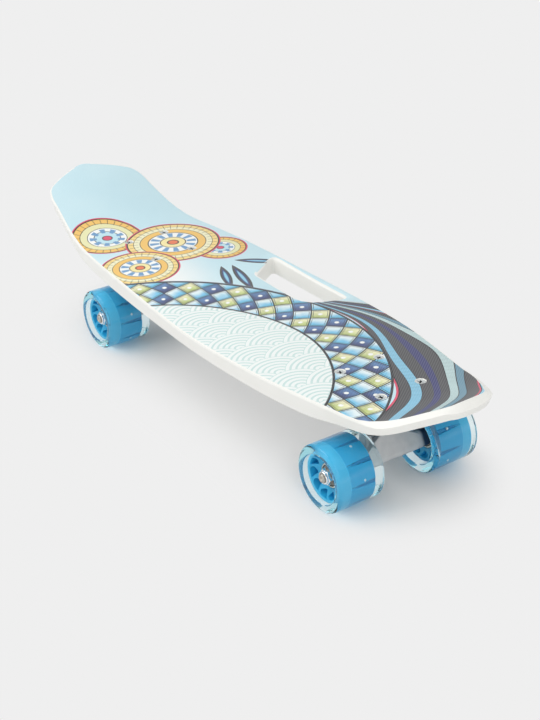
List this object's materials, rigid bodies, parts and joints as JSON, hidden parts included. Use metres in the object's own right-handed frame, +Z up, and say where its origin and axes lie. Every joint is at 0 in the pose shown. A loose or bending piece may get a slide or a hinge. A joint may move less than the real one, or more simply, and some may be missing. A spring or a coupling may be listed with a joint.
{
  "type": "cruiser skateboard",
  "caption": "Moulded plastic cruiser skateboard with a kicked tail, a hand slot in one edge, sprung steering trucks and clear lit wheels",
  "frame": {"origin": "middle of the board's box in plan, on the ground under the wheels", "axes": "+X towards the nose, +Y towards the edge with the hand slot, +Z up"},
  "size_m": [0.627, 0.165, 0.1374],
  "materials": {
    "deck_plastic": "white moulded plastic with a fine hatched grain and a printed top face",
    "cast_metal": "matte grey cast aluminium",
    "bright_steel": "bright plated steel",
    "zinc_steel": "zinc-plated steel",
    "bushing": "dark blue cast polyurethane",
    "cup_plastic": "black plastic",
    "clear_tyre": "clear blue-tinted cast polyurethane",
    "core_plastic": "azure moulded plastic",
    "magnet": "dull grey magnet steel"
  },
  "bodies": {
    "board": {"deck": "deck_plastic", "front_baseplate": "cast_metal", "front_pivot_cup": "cup_plastic", "front_kingpin": "zinc_steel", "front_kingpin_nut": "zinc_steel", "front_upper_bushing": "bushing", "front_lower_bushing": "bushing", "front_washer": "zinc_steel", "rear_baseplate": "cast_metal", "rear_pivot_cup": "cup_plastic", "rear_kingpin": "zinc_steel", "rear_kingpin_nut": "zinc_steel", "rear_upper_bushing": "bushing", "rear_lower_bushing": "bushing", "rear_washer": "zinc_steel", "deck_bolt_1": "zinc_steel", "locknut_1": "zinc_steel", "deck_bolt_2": "zinc_steel", "locknut_2": "zinc_steel", "deck_bolt_3": "zinc_steel", "locknut_3": "zinc_steel", "deck_bolt_4": "zinc_steel", "locknut_4": "zinc_steel", "deck_bolt_5": "zinc_steel", "locknut_5": "zinc_steel", "deck_bolt_6": "zinc_steel", "locknut_6": "zinc_steel", "deck_bolt_7": "zinc_steel", "locknut_7": "zinc_steel", "deck_bolt_8": "zinc_steel", "locknut_8": "zinc_steel"},
    "front_truck": {"front_hanger": "cast_metal", "front_axle": "bright_steel", "front_left_spacer": "magnet", "front_left_axle_nut": "bright_steel", "front_right_spacer": "magnet", "front_right_axle_nut": "bright_steel"},
    "front_left_wheel": {"front_left_tyre": "clear_tyre", "front_left_core": "core_plastic", "front_left_inner_bearing": "bright_steel", "front_left_outer_bearing": "bright_steel"},
    "front_right_wheel": {"front_right_tyre": "clear_tyre", "front_right_core": "core_plastic", "front_right_inner_bearing": "bright_steel", "front_right_outer_bearing": "bright_steel"},
    "rear_truck": {"rear_hanger": "cast_metal", "rear_axle": "bright_steel", "rear_left_spacer": "magnet", "rear_left_axle_nut": "bright_steel", "rear_right_spacer": "magnet", "rear_right_axle_nut": "bright_steel"},
    "rear_left_wheel": {"rear_left_tyre": "clear_tyre", "rear_left_core": "core_plastic", "rear_left_inner_bearing": "bright_steel", "rear_left_outer_bearing": "bright_steel"},
    "rear_right_wheel": {"rear_right_tyre": "clear_tyre", "rear_right_core": "core_plastic", "rear_right_inner_bearing": "bright_steel", "rear_right_outer_bearing": "bright_steel"}
  },
  "joints": [
    {"name": "front_steer", "type": "hinge", "parent": "board", "child": "front_truck", "pos_m": [0.186, 0, 0.05281], "axis": [0.8988, 0, 0.4384], "range_deg": [-12, 12], "stiffness_Nm_per_rad": 20, "deforming": ["front_upper_bushing", "front_lower_bushing"]},
    {"name": "front_left_spin", "type": "hinge", "parent": "front_truck", "child": "front_left_wheel", "pos_m": [0.212, 0.0504, 0.02981], "axis": [0, 1, 0], "continuous": true},
    {"name": "front_right_spin", "type": "hinge", "parent": "front_truck", "child": "front_right_wheel", "pos_m": [0.212, -0.0504, 0.02981], "axis": [0, 1, 0], "continuous": true},
    {"name": "rear_steer", "type": "hinge", "parent": "board", "child": "rear_truck", "pos_m": [-0.139, 0, 0.05281], "axis": [-0.8988, 0, 0.4384], "range_deg": [-12, 12], "stiffness_Nm_per_rad": 20, "deforming": ["rear_upper_bushing", "rear_lower_bushing"]},
    {"name": "rear_left_spin", "type": "hinge", "parent": "rear_truck", "child": "rear_left_wheel", "pos_m": [-0.165, 0.0504, 0.02981], "axis": [0, 1, 0], "continuous": true},
    {"name": "rear_right_spin", "type": "hinge", "parent": "rear_truck", "child": "rear_right_wheel", "pos_m": [-0.165, -0.0504, 0.02981], "axis": [0, 1, 0], "continuous": true}
  ]
}
